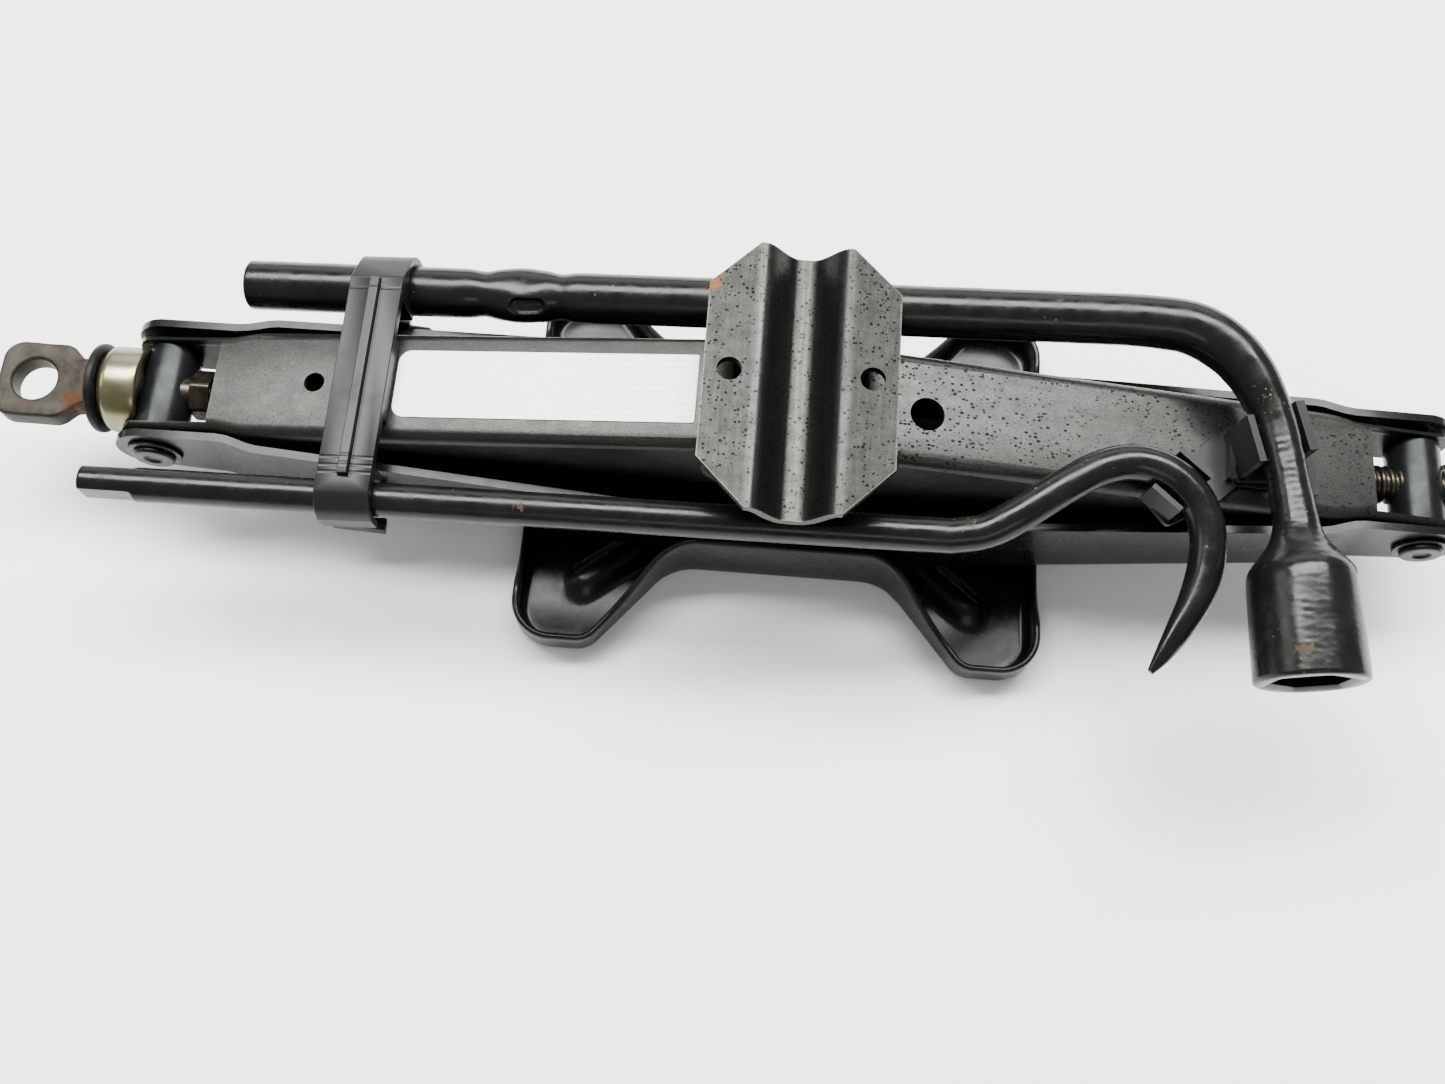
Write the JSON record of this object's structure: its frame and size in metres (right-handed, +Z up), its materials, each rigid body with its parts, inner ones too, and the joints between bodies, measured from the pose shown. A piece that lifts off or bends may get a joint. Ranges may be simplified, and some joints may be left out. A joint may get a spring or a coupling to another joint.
{
  "type": "car jack",
  "caption": "Scissor car jack folded flat, with base, saddle, geared arms, lead screw, lug wrench, hook handle and strap.",
  "frame": {"origin": "on the ground, under the middle of the base plate", "axes": "+X along the jack towards the free end of the screw, +Y towards the side that carries the lug wrench, +Z up"},
  "size_m": [0.4815, 0.1457, 0.0924],
  "materials": {
    "black_steel": "satin black dip coat",
    "worn_steel": "black coat worn to speckled grey",
    "pin_steel": "dark oiled steel",
    "gloss_black": "semi-gloss black over forged steel, with small rust chips",
    "oily_steel": "oily machined steel",
    "rusty_steel": "bare steel with surface rust",
    "zinc_steel": "yellow zinc plate",
    "black_rubber": "matt rubber",
    "black_plastic": "moulded satin plastic",
    "white_film": "white film"
  },
  "bodies": {
    "base": {"base_plate": "black_steel", "left_base_pin": "pin_steel", "right_base_pin": "pin_steel"},
    "lower_left": {"lower_left_arm": "black_steel", "strap_keeper": "black_plastic", "strap_hinge_pin": "black_plastic"},
    "lower_right": {"lower_right_arm": "black_steel"},
    "left_trunnion_body": {"left_trunnion": "black_steel", "left_front_washer": "pin_steel", "left_back_washer": "pin_steel", "thrust_cup": "zinc_steel"},
    "right_trunnion_body": {"right_trunnion": "black_steel", "right_front_washer": "pin_steel", "right_back_washer": "pin_steel"},
    "upper_left": {"upper_left_arm": "black_steel", "label": "white_film"},
    "upper_right": {"upper_right_arm": "black_steel", "tool_bracket": "black_plastic"},
    "saddle": {"saddle_plate": "worn_steel", "front_cheek": "black_steel", "back_cheek": "black_steel", "left_saddle_pin": "pin_steel", "right_saddle_pin": "pin_steel"},
    "screw": {"lead_screw": "oily_steel", "drive_eye": "rusty_steel", "seal_ring": "black_rubber", "thrust_washer": "oily_steel", "thrust_balls": "oily_steel", "stop_collar": "oily_steel", "end_clip": "oily_steel"},
    "wrench": {"lug_wrench": "gloss_black"},
    "handle": {"hook_handle": "gloss_black"},
    "strap_body": {"strap": "black_plastic"}
  },
  "joints": [
    {"name": "lift", "type": "hinge", "parent": "base", "child": "lower_left", "pos_m": [-0.016, 0, 0.01767], "axis": [0, 1, 0], "range_deg": [0, 52.5]},
    {"name": "lower_right_pivot", "type": "hinge", "parent": "base", "child": "lower_right", "pos_m": [0.016, 0, 0.01767], "axis": [0, 1, 0], "range_deg": [-52.5, 0]},
    {"name": "left_trunnion_lower", "type": "hinge", "parent": "lower_left", "child": "left_trunnion_body", "pos_m": [-0.2069, 0, 0.0428], "axis": [0, 1, 0], "range_deg": [-52.5, 0]},
    {"name": "left_trunnion_upper", "type": "hinge", "parent": "left_trunnion_body", "child": "upper_left", "pos_m": [-0.2069, 0, 0.0428], "axis": [0, 1, 0], "range_deg": [-52.5, 0]},
    {"name": "left_saddle_pivot", "type": "hinge", "parent": "upper_left", "child": "saddle", "pos_m": [-0.016, 0, 0.06793], "axis": [0, 1, 0], "range_deg": [0, 52.5]},
    {"name": "right_trunnion_lower", "type": "hinge", "parent": "lower_right", "child": "right_trunnion_body", "pos_m": [0.2069, 0, 0.0428], "axis": [0, 1, 0], "range_deg": [0, 52.5]},
    {"name": "right_trunnion_upper", "type": "hinge", "parent": "right_trunnion_body", "child": "upper_right", "pos_m": [0.2069, 0, 0.0428], "axis": [0, 1, 0], "range_deg": [0, 52.5]},
    {"name": "screw_turn", "type": "hinge", "parent": "left_trunnion_body", "child": "screw", "pos_m": [0, 0, 0.0428], "axis": [1, 0, 0], "continuous": true},
    {"name": "wrench_swing", "type": "hinge", "parent": "saddle", "child": "wrench", "pos_m": [-0.188, 0.0386, 0.0498], "axis": [-0.9953, 0.0133, -0.096], "range_deg": [0, 110]},
    {"name": "handle_swing", "type": "hinge", "parent": "saddle", "child": "handle", "pos_m": [-0.2205, -0.0386, 0.057], "axis": [0.9993, 0, 0.0369], "range_deg": [0, 90]},
    {"name": "strap_lift", "type": "slide", "parent": "saddle", "child": "strap_body", "axis": [0, 0, 1], "range_m": [0, 0.12]}
  ],
  "couplings": [
    {"joint": "lower_right_pivot", "follows": "lift", "ratio": -1},
    {"joint": "left_trunnion_lower", "follows": "lift", "ratio": -1},
    {"joint": "left_trunnion_upper", "follows": "lift", "ratio": -1},
    {"joint": "left_saddle_pivot", "follows": "lift", "ratio": 1},
    {"joint": "right_trunnion_lower", "follows": "lift", "ratio": 1},
    {"joint": "right_trunnion_upper", "follows": "lift", "ratio": 1}
  ]
}
